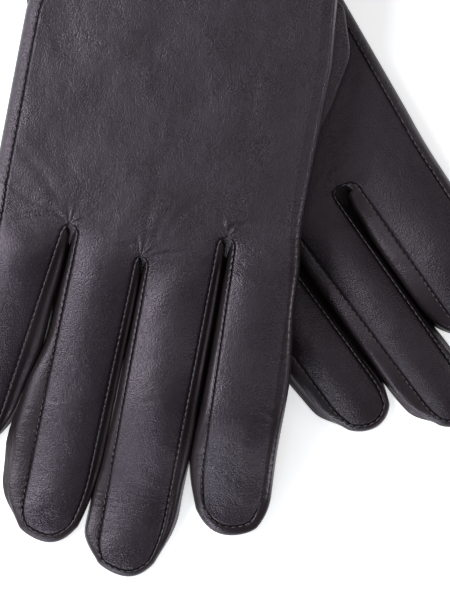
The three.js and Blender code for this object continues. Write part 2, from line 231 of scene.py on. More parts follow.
# Patches of fine wrinkles that run across the leather: x, y, reach in x, reach in y, strength.
RIGHT_WRINKLES = [
    (9.5, -80.0, 9.0, 7.5, 1.0), (-14.0, -81.0, 8.0, 5.0, 0.8), (47.2, 12.0, 3.4, 24.0, 1.0),
    (49.8, -28.0, 2.6, 16.0, 0.8), (-21.0, -62.0, 6.0, 14.0, 0.35), (44.0, -46.0, 7.0, 3.0, 0.7),
]
LEFT_WRINKLES = [(24.0, -8.0, 6.0, 8.0, 0.8), (-12.0, -76.0, 7.0, 6.0, 0.5)]
RIGHT["creases"], RIGHT["wrinkles"] = RIGHT_CREASES, RIGHT_WRINKLES
LEFT["creases"], LEFT["wrinkles"] = LEFT_CREASES, LEFT_WRINKLES


# ---- Curves ----
def mix(a, b, t):
    return a + (b - a) * t


def ease(t):
    c = np.clip(t, 0, 1)
    return c * c * (3 - 2 * c)


def stops_at(stops, t):
    """Value at t of (t, value) stops with t growing, eased from stop to stop."""
    t = np.asarray(t, float)
    value = np.full(t.shape, float(stops[0][1]))
    for (t0, v0), (t1, v1) in zip(stops, stops[1:]):
        value = np.where(t > t0, mix(v0, v1, ease((t - t0) / (t1 - t0))), value)
    return value


def along(stops, y):
    """Value at y of (y, value) stops listed from the cuff towards the tip."""
    return stops_at([(-s[0], s[1]) for s in stops], -np.asarray(y, float))


def straight(stops, y):
    """Value at y of (y, value) stops, straight from stop to stop."""
    places, values = zip(*stops)
    return np.interp(y, places, values)


def hand_half(y):
    return straight(HAND_WIDTHS, y)


def finger_fraction(finger, y):
    return (finger["root"][1] - y) / (finger["root"][1] - finger["tip"][1])


def strip_line(finger, y):
    """Middle and half width of a finger's upper strip at y."""
    t = finger_fraction(finger, y)
    middle = mix(finger["root"][0], finger["tip"][0], t)
    half = mix(finger["half"][0], finger["half"][1], np.clip(t, 0, 1))
    return middle, half


def slot_opening(slot, y):
    """0 at the end of a slot and 1 where it has its full width."""
    s = np.clip((slot[1] - y) / SLOT_END, 0, 1)
    return np.sqrt(1 - (1 - s) ** 2)


def hand_side(glove, side, y):
    """Where the hand ends on this side. The lower glove's left edge is drawn in at the wrist."""
    if side == "right":
        return hand_half(y)
    return glove["drawn_in"] * straight(DRAWN_SHARE, y) - hand_half(y)


def edge_of_hand(glove, side, y):
    """Where the upper sheet ends on this side and the edge of the hand starts to turn down."""
    inward = 1 if side == "left" else -1
    return hand_side(glove, side, y) + inward * along(glove["edge"][side], y)


def block_edges(glove, i, y):
    """Left and right edge of block i of the upper sheet at y, in the hand and in the finger."""
    middle, half = strip_line(glove["fingers"][ORDER[i]], y)
    spread = hand_half(y) / hand_half(0)
    edges = []
    for side, sign, slot_index in (("left", -1, i - 1), ("right", 1, i)):
        own = middle + sign * half
        if 0 <= slot_index < 3:
            slot = glove["slots"][slot_index]
            edges.append(mix(slot[0] * spread, own, slot_opening(slot, y)))
        else:
            slot = glove["slots"][0 if side == "left" else 2]
            edges.append(mix(edge_of_hand(glove, side, y), own, ease((slot[1] + 10 - y) / 24)))
    return edges


def slot_width(glove, slot_index, y):
    """Distance between the two seams of a slot at y."""
    left, right = (glove["fingers"][ORDER[slot_index + k]] for k in (0, 1))
    (middle_l, half_l), (middle_r, half_r) = strip_line(left, y), strip_line(right, y)
    return ((middle_r - half_r) - (middle_l + half_l)) * slot_opening(glove["slots"][slot_index], y)


def wall_widths(glove, i, side, y):
    """How far a side wall stands out at y, and how much further its hidden lower half does."""
    finger = glove["fingers"][ORDER[i]]
    own = along(finger[side], y)
    slot_index = i - 1 if side == "left" else i
    if not 0 <= slot_index < 3:
        wide = along(glove["edge"][side], y)
        return mix(wide, own, ease((8 - y) / 16)), np.zeros(np.shape(y))
    other_i, other_side = (i - 1, "right") if side == "left" else (i + 1, "left")
    other = along(glove["fingers"][ORDER[other_i]][other_side], y)
    width = slot_width(glove, slot_index, y)
    fits = np.clip((width - 0.1) / (own + other), 0, 1)
    gap = width - (own + other) * fits
    extra = np.clip(gap / 2 + OVERLAP, 0, MOST_HIDDEN) * (1 - ease((gap - 3.2) / 9))
    return own * fits, extra


def underside(glove, finger, y):
    """Height of the lower sheet: level in the hand, and falling along a finger that has a rise."""
    if "rise" not in finger:
        return np.full(np.shape(y), float(glove["base"]))
    start = min(slot[1] for slot in glove["slots"])
    return stops_at(finger["rise"], (start - y) / (start - finger["tip"][1]))


def thickness(finger, y):
    t = finger_fraction(finger, y)
    belly = HAND_THICKNESS + FINGER_BELLY * ease((t - 0.2) / 0.3)
    return mix(belly, TIP_THICKNESS, ease((t - 0.54) / 0.5))


def roll(distance, y):
    """How far the leather turns down towards a seam at this distance, pulled in at each stitch."""
    near = 1 - np.clip(distance / GROOVE_REACH, 0, 1)
    return GROOVE * near ** 2 * (1 + 0.22 * np.cos(2 * np.pi * y / STITCH_PITCH))


def waves(x, y):
    """Slow rises and falls of leather that has been worn and laid down."""
    return (
        0.16 * np.sin(x / 6.1 + y / 17.0 + 1.0) + 0.14 * np.sin(x / 9.7 - y / 11.3 + 2.1)
        + 0.12 * np.sin(x / 15.0 + y / 7.9 + 0.4) + 0.07 * np.sin(x / 3.9 - y / 6.3 + 3.0)
        + 0.06 * np.sin(x / 5.2 + y / 4.4 + 5.0))


def near_line(x, y, points):
    """Distance to a line through points, and how far along it, from 0 at its ends to 1."""
    points = np.array(points, float)
    lengths = np.concatenate([[0], np.cumsum(np.linalg.norm(np.diff(points, axis=0), axis=1))])
    best = np.full(x.shape, 1e9)
    place = np.zeros(x.shape)
    for k, (a, b) in enumerate(zip(points, points[1:])):
        d = b - a
        t = np.clip(((x - a[0]) * d[0] + (y - a[1]) * d[1]) / (d @ d), 0, 1)
        far = np.hypot(x - a[0] - t * d[0], y - a[1] - t * d[1])
        place = np.where(far < best, (lengths[k] + t * np.linalg.norm(d)) / lengths[-1], place)
        best = np.minimum(best, far)
    return best, np.sin(np.pi * np.clip(place, 0, 1)) ** 0.6


def creased(glove, x, y):
    """Height that the creases and the puckers at the slot ends give the upper sheet."""
    z = np.zeros(x.shape)
    for depth, width, points in glove["creases"]:
        far, strength = near_line(x, y, points)
        z -= depth * strength * np.exp(-(far / width * 1.6) ** 2)
        z += 0.4 * depth * strength * np.exp(-((far - 1.5 * width) / width) ** 2)
    for k, (cx, cy) in enumerate(glove["slots"]):
        angle = np.arctan2(x - cx, y - cy)
        far = np.hypot(x - cx, y - cy)
        above = ease((y - cy + 1.5) / 3)
        fold = np.cos(angle * STAR_FOLDS[0] + k) * 0.6 + np.cos(angle * STAR_FOLDS[1] + 2 * k) * 0.4
        z += STAR_DEPTH * fold * above * np.exp(-((far - 1.8) / 3.6) ** 2) * ease(far / 1.2)
    return z


def upper_height(glove, i, u, w, x, y, tip_reach, half):
    """Height of the upper sheet. u runs across the block, w from 0 to 1 round the fingertip."""
    finger = glove["fingers"][ORDER[i]]
    flat_left, flat_right = (edge_of_hand(glove, side, y) for side in ("left", "right"))
    from_middle = np.abs(2 * x - flat_left - flat_right) / (flat_right - flat_left)
    hand = HAND_THICKNESS - HAND_CROWN * np.clip(from_middle, 0, 1.1) ** 2
    puff = (1 - np.abs(u) ** 2.1) * (1 - w ** 2.3)
    start_left, start_right = (glove["slots"][k][1] + ROOT_ABOVE for k in (max(i - 1, 0), min(i, 2)))
    start = mix(start_left, start_right, (u + 1) / 2)
    below = ease((start - ROOT_ABOVE - y) / 12)
    crown = mix(FINGER_CROWN, finger.get("crown", FINGER_CROWN), below)
    own = thickness(finger, y) - crown * mix(1, 0.8, w) * (1 - puff) - finger.get("lean", 0) * u * below
    z = underside(glove, finger, y) + mix(hand, own, ease((start - y) / ROOT_LENGTH))
    drop = np.where(w > 0, roll((1 - w) * tip_reach, x), 0)
    for side, slot_index in (("left", i - 1), ("right", i)):
        across_gap = (1 + u if side == "left" else 1 - u) * half
        if 0 <= slot_index < 3:
            above = np.maximum(0, y - glove["slots"][slot_index][1])
            drop = np.maximum(drop, roll(np.hypot(across_gap, above), y))
        else:
            drop = np.maximum(drop, roll(across_gap, y) * mix(glove["seam"][side], 1, w))
    return z - drop + creased(glove, x, y) + waves(x, y) * (1 - 0.5 * np.abs(u) ** 2)


# ---- Building a shell ----
class Shell:
    """Collects grids of points in one glove's frame, each under the name of its object."""

    def __init__(self):
        self.points, self.faces, self.owner, self.material = [], [], [], []
        self.count = 0

    def grid(self, points, outward, owner, material=0, around=False):
        rows, columns = points.shape[:2]
        last = columns if around else columns - 1
        r, c = np.meshgrid(np.arange(rows - 1), np.arange(last), indexing="ij")
        r, c, d = r.ravel(), c.ravel(), (c.ravel() + 1) % columns
        quads = np.stack([r * columns + c, r * columns + d, (r + 1) * columns + d, (r + 1) * columns + c], 1)
        flat = points.reshape(-1, 3)
        normal = np.cross(flat[quads[:, 2]] - flat[quads[:, 0]], flat[quads[:, 3]] - flat[quads[:, 1]])
        out = np.broadcast_to(outward, points.shape).reshape(-1, 3)[quads[:, 0]]
        if (normal * out).sum() < 0:
            quads = quads[:, ::-1]
        self.points.append(flat)
        self.faces.append(quads + self.count)
        self.owner += [owner] * len(quads)
        self.material += [material] * len(quads)
        self.count += len(flat)

    def merged(self):
        """Points with doubles merged, faces, and smooth normals over the whole shell."""
        points = np.concatenate(self.points)
        faces = np.concatenate(self.faces)
        _, first, back = np.unique(np.round(points, 3), axis=0, return_index=True, return_inverse=True)
        points, faces = points[first], back.reshape(-1)[faces]
        corner = [points[faces[:, k]] for k in range(4)]
        normal = np.cross(corner[2] - corner[0], corner[3] - corner[1])
        smooth = np.zeros_like(points)
        for k in range(4):
            np.add.at(smooth, faces[:, k], normal)
        smooth /= np.linalg.norm(smooth, axis=1, keepdims=True) + 1e-12
        return points, faces, smooth


# Places across a block of leather from -1 to 1, closer together towards its seams.
FROM_SEAM = np.array([
    0, 0.18, 0.38, 0.62, 0.9, 1.2, 1.6, 2.1, 2.7, 3.4, 4.1, 4.8, 5.5, 6.3, 7.1, 7.9, 8.7, 9.5])
LEFT_HALF = FROM_SEAM / FROM_SEAM[-1] - 1
COLUMNS = np.concatenate([LEFT_HALF, -LEFT_HALF[-2::-1]])


def shared_rows(glove, start, end, step):
    """Rows from start down to end, closer near the slot ends, with a row at every slot end."""
    crotches = [slot[1] for slot in glove["slots"] if end < slot[1] < start]
    rows = [start]
    while rows[-1] > end:
        near = min(abs(rows[-1] - slot[1]) for slot in glove["slots"])
        rows.append(max(rows[-1] - (0.35 if near < 6 else step), end))
    kept = [y for y in rows if min([abs(y - c) for c in crotches] + [1]) > 0.12]
    return np.array(sorted(kept + crotches, reverse=True))


UPPER_WALL = np.array([
    0, 0.03, 0.06, 0.1, 0.15, 0.21, 0.28, 0.36, 0.45, 0.54, 0.63, 0.72, 0.8, 0.87, 0.93, 0.97, 0.99, 1])
LOWER_WALL = np.array([0.2, 0.4, 0.6, 0.8, 1.0])
LIP_REACH = 0.5         # a wall is back at its full height this far from the seam
UNDER_ROUND = 1.2       # radius of the rounding along the underside
PUCKER_REACH = 0.9      # the pull of the stitches fades out over this much of a wall
RIDGE_INSET = 0.8       # the crest of a folded edge stands this far inside its outline
RIDGE_WIDTH = 0.5
GATHER_PITCH = 1.3      # spacing of the small gathers along a folded edge
RIDGE_END = (-58, 16)   # along the index, where the crest starts to fade and how long it takes
VALLEY_DEPTH = 0.75     # depth of the hollow along a wall that is folded in
FOLD_SLOPE = 0.5        # slope of the upper sheet where it turns into a wall


def evened(line, passes=24):
    """The line without its small rises and falls."""
    even = line.copy()
    for _ in range(passes):
        even[1:-1] = (even[:-2] + 2 * even[1:-1] + even[2:]) / 4
    return even


def wall_points(edge, normals, width, extra, base, groove, shelf, valley, ridge=0.0):
    """A side wall below the line edge: out from the seam over its upper half, then down and in."""
    seam_height = evened(edge[:, 2])
    height = seam_height - base
    share = UPPER_WALL[:, None]
    distance = share * width
    down = 0.5 * height * (1 - (1 - share ** shelf) ** (1 / shelf))
    down = down + FOLD_SLOPE * (1 - groove) * distance * (1 - share) ** 2
    travel = np.concatenate([[0], np.cumsum(np.linalg.norm(np.diff(edge[:, :2], axis=0), axis=1))])
    near = 1 - ease(distance / PUCKER_REACH)
    pulled = 1 - 0.2 * near * np.cos(2 * np.pi * travel / STITCH_PITCH)
    lip = GROOVE * groove * (1 - (1 - np.clip(distance / LIP_REACH, 0, 1)) ** 2) * pulled
    dip = valley * np.sin(np.pi * np.clip((distance - 0.5) / (0.75 * np.maximum(width, 0.01)), 0, 1)) ** 2
    crest = ridge * np.exp(-((width - distance - RIDGE_INSET) / RIDGE_WIDTH) ** 2)
    gathered = 1 + 0.16 * np.sin(2 * np.pi * travel / GATHER_PITCH) + 0.16 * np.sin(travel * 2.9)
    down = down - lip * (1 - share) + dip - crest * gathered
    turn = LOWER_WALL[:, None] * np.pi / 2
    inset = np.minimum(UNDER_ROUND, 0.5 * width)
    tucked = inset * ease((LOWER_WALL[:, None] - 0.4) / 0.6)
    low_out = width + extra * ease(LOWER_WALL[:, None] / 0.4) - tucked
    low_down = height * (0.5 + 0.5 * np.sin(turn))
    out = np.concatenate([distance, low_out])
    down = np.concatenate([down, low_down])
    points = np.empty(out.shape + (3,))
    points[..., 0] = edge[:, 0] + normals[:, 0] * out
    points[..., 1] = edge[:, 1] + normals[:, 1] * out
    points[..., 2] = mix(edge[:, 2], seam_height, ease(out / PUCKER_REACH)) - down
    points[-1, :, 2] = base
    return points


def make_hand(shell, glove):
    """The hand's two sheets and two edges. Returns the ring at the cuff, the line of the hem's
    stitches and the lines of the seams along the hand's edges."""
    name = glove["name"] + "_hand"
    rows = shared_rows(glove, CUFF_Y, glove["split"], 0.8)
    u = COLUMNS
    uppers, lowers = [], []
    for i in range(4):
        left, right = block_edges(glove, i, rows)
        x = left[:, None] + (u + 1) / 2 * (right - left)[:, None]
        y = np.repeat(rows[:, None], len(u), 1)
        z = upper_height(glove, i, u[None, :], np.zeros((1, 1)), x, y, 1.0, ((right - left) / 2)[:, None])
        uppers.append(np.stack([x, y, z], 2))
        lowers.append(np.stack([x, y, np.full(x.shape, glove["base"])], 2))
        shell.grid(uppers[i], (0, 0, 1), name)
    walls = {}
    for side, block, column, sign in (("left", 0, 0, -1), ("right", 3, -1, 1)):
        edge = uppers[block][:, column]
        normals = np.tile([sign, 0.0], (len(rows), 1))
        width, extra = wall_widths(glove, block, side, rows)
        groove = glove["seam"][side]
        ridge = glove["ridge"] * (side == "right")
        walls[side] = wall_points(edge, normals, width, extra, glove["base"], groove, 2.2, 0, ridge)
        shell.grid(walls[side], (sign, 0, 0), name)
        lowers[block][:, column, :2] = walls[side][-1][:, :2]
    for i in range(4):
        shell.grid(lowers[i], (0, 0, -1), name)
    seams = {side: walls[side][0] for side in walls if glove["seam"][side] > 0}
    cuff = np.concatenate(
        [upper[0][:-1] for upper in uppers] + [walls["right"][:-1, 0]]
        + [lower[0][:0:-1] for lower in lowers[::-1]] + [walls["left"][:0:-1, 0]])
    row = int(np.argmin(np.abs(rows - (CUFF_Y - HEM_STITCHES))))
    hem_line = np.concatenate([upper[row][:-1] for upper in uppers])
    return cuff, hem_line, seams


def make_hem(shell, ring, name):
    """The leather turned in at the cuff, from the outer edge round and down the inside."""
    low, high = ring[:, 2].min(), ring[:, 2].max()
    middle = (low + high) / 2
    before, after = np.roll(ring, 1, axis=0), np.roll(ring, -1, axis=0)
    tangent = (after - before)[:, [0, 2]]
    tangent /= np.linalg.norm(tangent, axis=1, keepdims=True) + 1e-9
    inward = np.stack([-tangent[:, 1], tangent[:, 0]], 1)
    flip = ((middle - ring[:, 2]) * inward[:, 1] - ring[:, 0] * inward[:, 0] * 0.02) < 0
    inward[flip] *= -1
    steps = [(HEM_INSET * (1 - math.cos(a)) / 2, math.sin(a)) for a in np.linspace(0, math.pi, 11)]
    steps += [(HEM_INSET, -d) for d in np.arange(1.0, HEM_DEPTH, 1.5)]
    rows = []
    for depth, y in steps:
        row = ring.copy()
        row[:, 0] += inward[:, 0] * depth
        row[:, 2] += inward[:, 1] * depth
        row[:, 1] += y
        rows.append(row)
    rows = np.array(rows)
    outward = np.zeros(rows.shape)
    outward[:5, :, 0] = -inward[:, 0]
    outward[:5, :, 2] = -inward[:, 1]
    shell.grid(rows, outward, name, around=True)


TIP_SQUARE = 0.42       # 0.5 makes a fingertip an ellipse in plan, and less makes it blunter
TIP_ROWS = np.array([
    0.05, 0.1, 0.16, 0.22, 0.29, 0.36, 0.43, 0.5, 0.57, 0.64, 0.7, 0.76, 0.81, 0.855, 0.895, 0.93, 0.958,
    0.98, 1.0])


WEB_REACH = 9.0         # the fold of side leather runs this far down a slot from its end
WEB_BELOW = 2.2         # it starts this far below the hand's full thickness
WEB_CLEAR = 0.6         # and ends this far above the underside
WEB_FOLD = 0.45         # height of the fold's ridges
WEB_ACROSS = np.linspace(0, 1, 13)


def make_web(shell, glove, slot_index):
    """The fold of the side leather at the end of a slot, which slopes down between the walls."""
    end = glove["slots"][slot_index][1]
    y = end + 0.4 - (WEB_REACH + 0.4) * np.linspace(0, 1, 22) ** 1.4
    left = block_edges(glove, slot_index, y)[1] - 0.5
    right = block_edges(glove, slot_index + 1, y)[0] + 0.5
    down = np.clip((end - y) / WEB_REACH, 0, 1)
    top = glove["base"] + (HAND_THICKNESS - WEB_BELOW) * (1 - down) ** 1.2 + WEB_CLEAR
    x = mix(left[:, None], right[:, None], WEB_ACROSS)
    fold = WEB_FOLD * np.cos(2 * np.pi * WEB_ACROSS) * ease(down * 3)[:, None]
    points = np.stack([x, np.repeat(y[:, None], len(WEB_ACROSS), 1), top[:, None] + fold], 2)
    # Material 1 is the side leather, which carries painted shade.
    shell.grid(points, (0, 0, 1), glove["name"] + "_hand", 1)


def make_finger(shell, glove, i):
    """One finger from the split line: its upper strip, side walls and lower strip."""
    key = ORDER[i]
    finger = glove["fingers"][key]
    name = f"{glove['name']}_{key}"
    u = COLUMNS
    tip_y = finger["tip"][1]
    reach = mix(finger["reach"][0], finger["reach"][1], ease((u + 1) / 2))
    shared_end = min(slot[1] for slot in glove["slots"]) - SLOT_END
    rows = shared_rows(glove, glove["split"], shared_end, STITCH_PITCH / 4)
    count = int((shared_end - (tip_y + reach.min())) / (STITCH_PITCH / 4))
    spread = np.linspace(0, 1, count + 1)[1:, None]
    y = np.concatenate([np.repeat(rows[:, None], len(u), 1), mix(shared_end, tip_y + reach, spread)])
    left, right = block_edges(glove, i, y)
    x = left + (u + 1) / 2 * (right - left)
    w = np.zeros(x.shape)
    half = (right - left) / 2
    tip_w = np.repeat(TIP_ROWS[:, None], len(u), 1)
    tip_u = np.repeat(u[None], len(TIP_ROWS), 0)
    tip_y_rows = (tip_y + reach) - reach * tip_w * np.sqrt(1 - TIP_SQUARE * tip_u ** 2)
    middle, tip_half = strip_line(finger, tip_y_rows)
    x = np.concatenate([x, middle + tip_half * tip_u * np.sqrt(1 - TIP_SQUARE * tip_w ** 2)])
    y = np.concatenate([y, tip_y_rows])
    w = np.concatenate([w, tip_w])
    half = np.concatenate([half, tip_half * np.sqrt(1 - TIP_SQUARE * tip_w ** 2)])
    z = upper_height(glove, i, u[None, :], w, x, y, reach, half)
    top = np.stack([x, y, z], 2)
    shell.grid(top, (0, 0, 1), name)

    # The edge runs from the end of the left slot round the tip to the end of the right slot.
    starts = [0, 0]
    for k, slot_index in enumerate((i - 1, i)):
        if 0 <= slot_index < 3:
            starts[k] = int(np.argmin(np.abs(rows - glove["slots"][slot_index][1])))
    last_row, last_column = len(top) - 1, len(u) - 1
    ids = [(r, 0) for r in range(starts[0], last_row + 1)]
    ids += [(last_row, c) for c in range(1, last_column)]
    ids += [(r, last_column) for r in range(last_row, starts[1] - 1, -1)]
    ids = np.array(ids)
    edge, edge_w = top[ids[:, 0], ids[:, 1]], w[ids[:, 0], ids[:, 1]]
    side = ease((u[ids[:, 1]] + 1) / 2)
    is_left = side < 0.5
    normals = edge_normals(glove, i, edge, is_left)
    lip = finger["lip"]
    around_tip = ease(edge_w * 1.1)
    widths = {one: wall_widths(glove, i, one, edge[:, 1]) for one in ("left", "right")}
    width = mix(mix(widths["left"][0], widths["right"][0], side), lip, around_tip)
    extra = mix(widths["left"][1], widths["right"][1], side) * (1 - around_tip)
    groove, shelf, valley = wall_character(glove, i, edge, is_left, around_tip)
    base = underside(glove, finger, edge[:, 1])
    still_folded = 1 - ease((RIDGE_END[0] - edge[:, 1]) / RIDGE_END[1])
    folded_edge = (i == 3) * ~is_left * (1 - around_tip) * still_folded
    width = evened(width)
    wall = wall_points(
        edge, normals, width, extra, base, groove, shelf, valley, glove["ridge"] * folded_edge)
    # Material 1 is the side leather, which carries painted shade.
    shell.grid(wall, np.concatenate([normals, np.zeros((len(edge), 1))], 1)[None], name, 1)

    # The lower strip fills the foot of the wall.
    bottom = top.copy()
    grow = np.zeros((2, len(top)))
    for (r, c), shift in zip(ids, wall[-1] - edge):
        if c in (0, last_column):
            grow[int(c > 0), r] = shift[0]
    bottom[..., 0] += mix(grow[0][:, None], grow[1][:, None], (u + 1) / 2)
    bottom[..., 1] -= w * lip * 0.6
    bottom[..., 2] = underside(glove, finger, bottom[..., 1])
    bottom[ids[:, 0], ids[:, 1]] = wall[-1]
    shell.grid(bottom, (0, 0, -1), name)
    return edge[groove > 0.5], normals[groove > 0.5]


def edge_normals(glove, i, edge, is_left):
    """Which way each point of a finger's edge faces, in plan."""
    tangent = np.gradient(edge[:, :2], axis=0)
    tangent /= np.linalg.norm(tangent, axis=1, keepdims=True) + 1e-9
    normals = np.stack([tangent[:, 1], -tangent[:, 0]], 1)
    if i > 0:
        normals[0] = (0, -1)
    if i < 3:
        normals[-1] = (0, -1)
    for outer, sign, mine in ((i == 0, -1, is_left), (i == 3, 1, ~is_left)):
        if outer:
            slot_y = glove["slots"][0 if sign < 0 else 2][1]
            straight = (1 - ease((slot_y - 6 - edge[:, 1]) / 10)) * mine
            normals = mix(normals, np.array([[sign, 0.0]]), straight[:, None])
    return normals / (np.linalg.norm(normals, axis=1, keepdims=True) + 1e-9)


def wall_character(glove, i, edge, is_left, around_tip):
    """Seam depth, squareness and valley depth of the wall at each point of a finger's edge."""
    groove = np.ones(len(edge))
    shelf = np.full(len(edge), 2.4)
    valley = np.zeros(len(edge))
    if i == 0:
        groove = np.where(is_left, mix(glove["seam"]["left"], 1, around_tip), groove)
        shelf = np.where(is_left, 2.2, shelf)
    if i == 3:
        groove = np.where(is_left, groove, mix(glove["seam"]["right"], 1, around_tip))
        shelf = np.where(is_left, shelf, 2.2)
    if i < 3:
        folded = (~is_left) * (1 - around_tip)
        valley = valley + folded * VALLEY_DEPTH * ease((glove["slots"][i][1] - 3 - edge[:, 1]) / 8)
        shelf = shelf + folded * 0.8
    if glove["name"] == "left" and i > 0:
        shelf = shelf + is_left * (1 - around_tip) * 1.4
    return groove, shelf, valley


# ---- Tubes: thumbs and linings ----
ROUND_FROM = 0.86       # a tube's end is rounded from this fraction of its length
ROUND_UNTIL = 0.06      # and its start up to this one, if it is closed
TUBE_POWER = 2.6        # squareness of a tube's section


def tube(shell, name, stations, inset=0.0, seam=None, closed_start=False):
    """A tube with a round end through stations of (t, x, y, angle of its width, half width, low, high)."""
    table = np.array(stations, float)
    body = np.linspace(table[0, 0], ROUND_FROM, 80)
    round_end = ROUND_FROM + (1 - ROUND_FROM) * np.sin(np.linspace(0.06, 1, 18) * np.pi / 2)
    t = np.concatenate([body, round_end])
    turn = np.interp(t, table[:, 0], table[:, 3])
    x, y, half, low, high = (evened(np.interp(t, table[:, 0], table[:, k]), 12) for k in (1, 2, 4, 5, 6))
    size = np.sqrt(1 - (np.clip(t - ROUND_FROM, 0, None) / (1 - ROUND_FROM)) ** 2)
    if closed_start:
        size = size * np.sqrt(1 - np.clip(1 - (t - t[0]) / ROUND_UNTIL, 0, 1) ** 2)
    angle = np.linspace(0, 2 * np.pi, 96, endpoint=False)
    c, s = np.cos(angle), np.sin(angle)
    squeeze = np.ones(len(angle))
    if seam is not None:
        far = (angle - seam + np.pi) % (2 * np.pi) - np.pi
        squeeze = 1 - 0.08 * np.exp(-(far / 0.06) ** 2)
    wide = ((half - inset) * size)[:, None] * np.sign(c) * np.abs(c) ** (2 / TUBE_POWER) * squeeze
    tall = (((high - low) / 2 - inset) * size ** 0.7)[:, None]
    tall = tall * np.sign(s) * np.abs(s) ** (2 / TUBE_POWER) * squeeze
    turn = np.radians(turn)[:, None]
    across, ahead = x[:, None] + np.cos(turn) * wide, y[:, None] + np.sin(turn) * wide
    points = np.stack([across, ahead, (low + high)[:, None] / 2 + tall], 2)
    shell.grid(points, points - points.mean(axis=1, keepdims=True), name, around=True)


def hand_lining(glove):
    """Stations of the lining inside the hand, from under the hem to the roots of the fingers."""
    base = glove["base"]
    ys = np.linspace(CUFF_Y - HEM_DEPTH + 4, glove["knuckle"] + 2, 20)
    stations = []
    for t, y in zip(np.linspace(0, 1, len(ys)), ys):
        left, right = (float(hand_side(glove, side, y)) for side in ("left", "right"))
        stations.append((
            t, (left + right) / 2, y, 0.0, (right - left) / 2 - LINING_SIDE, base,
            base + HAND_THICKNESS - LINING_SPARE))
    return stations


def finger_lining(glove, i):
    """Stations of the lining tube inside one finger."""
    finger = glove["fingers"][ORDER[i]]
    stations = []
    start, end = glove["knuckle"] - 0.3, finger["tip"][1] + 2.5
    for t in np.linspace(0, 1, 24):
        y = mix(start, end, t)
        middle, half = strip_line(finger, y)
        low = float(underside(glove, finger, y))
        high = low + float(thickness(finger, y)) - 0.9
        stations.append((t, middle, y, 0.0, half + 0.8, low, high))
    return stations


# ---- Thread ----
STITCH_PROFILE = [
    (-0.5, 0.05), (-0.47, 0.55), (-0.4, 0.9), (-0.2, 1.0), (0.2, 1.0), (0.4, 0.9), (0.47, 0.55), (0.5, 0.05)]


def stitches(shell, name, line, facing, inset=0.28, lift=0.5):
    """Short rounded stitches along a line of points, one for every pitch."""
    travel = np.concatenate([[0], np.cumsum(np.linalg.norm(np.diff(line, axis=0), axis=1))])
    if travel[-1] < STITCH_PITCH * 2:
        return
    starts = np.arange(STITCH_PITCH / 2, travel[-1] - STITCH_PITCH, STITCH_PITCH)
    angle = np.linspace(0, 2 * np.pi, 8, endpoint=False)
    for start in starts:
        ends = [
            np.array([np.interp(start + d, travel, line[:, k]) for k in range(3)])
            for d in (0, STITCH_LENGTH)]
        along_it = ends[1] - ends[0]
        length = np.linalg.norm(along_it)
        if length < 0.3 * STITCH_LENGTH:
            continue
        along_it /= length
        out = np.array([np.interp(start, travel, facing[:, 0]), np.interp(start, travel, facing[:, 1]), 0.0])
        sideways = np.cross(along_it, (0, 0, 1))
        sideways /= np.linalg.norm(sideways) + 1e-9
        up = np.cross(sideways, along_it)
        centre = (ends[0] + ends[1]) / 2 + out * inset + np.array([0, 0, lift])
        rings = [centre + along_it * length * s + np.outer(np.cos(angle), sideways) * THREAD * r
                 + np.outer(np.sin(angle), up) * THREAD * r + up * 0.12 * (0.25 - s * s) * 4 * THREAD
                 for s, r in STITCH_PROFILE]
        rings = np.array(rings)
        shell.grid(rings, rings - centre, name, around=True)


# ---- Places and meshes ----
def placement(glove):
    """Origin and x direction of a glove's own frame in the row frame, from two of its joints."""
    places = {j["name"]: j["pos_m"][:2] for j in frame["record"]["behaviour"]["joints"] if "pos_m" in j}
    (joint_a, local_a), (joint_b, local_b) = glove["anchors"]
    row_a, row_b = np.array(places[joint_a]) / MM, np.array(places[joint_b]) / MM
    d_local, d_row = np.subtract(local_b, local_a), row_b - row_a
    turn = math.atan2(d_row[1], d_row[0]) - math.atan2(d_local[1], d_local[0])
    c, s = math.cos(turn), math.sin(turn)
    matrix = np.array([[c, -s], [s, c]])
    return row_a - matrix @ np.array(local_a), matrix


def to_row(glove, points):
    origin, matrix = glove["placement"]
    row = np.array(points, float)
    row[..., :2] = row[..., :2] @ matrix.T + origin
    return row * MM


def turn_to_row(glove, vectors):
    _, matrix = glove["placement"]
    row = np.array(vectors, float)
    row[..., :2] = row[..., :2] @ matrix.T
    return row


def wrinkle_mask(glove, points):
    """How strongly the leather is wrinkled across at each point, from 0 to 1."""
    mask = np.zeros(len(points))
    for x, y, reach_x, reach_y, strength in glove["wrinkles"]:
        far = ((points[:, 0] - x) / reach_x) ** 2 + ((points[:, 1] - y) / reach_y) ** 2
        mask = np.maximum(mask, strength * np.exp(-far))
    return mask


def mesh_object(name, points, faces, normals, materials, face_material, place, wrinkle):
    mesh = bpy.data.meshes.new(name)
    mesh.from_pydata(points.tolist(), [], faces.tolist())
    mesh.update()
    for material in materials:
        mesh.materials.append(material)
    mesh.polygons.foreach_set("material_index", face_material.astype(np.int32))
    mesh.polygons.foreach_set("use_smooth", np.ones(len(mesh.polygons), bool))
    stored = mesh.attributes.new("place", "FLOAT_VECTOR", "POINT")
    stored.data.foreach_set("vector", place.astype(np.float32).ravel())
    stored = mesh.attributes.new("wrinkle", "FLOAT", "POINT")
    stored.data.foreach_set("value", wrinkle.astype(np.float32))
    mesh.normals_split_custom_set_from_vertices(normals.tolist())
    obj = bpy.data.objects.new(name, mesh)
    bpy.context.scene.collection.objects.link(obj)
    return obj


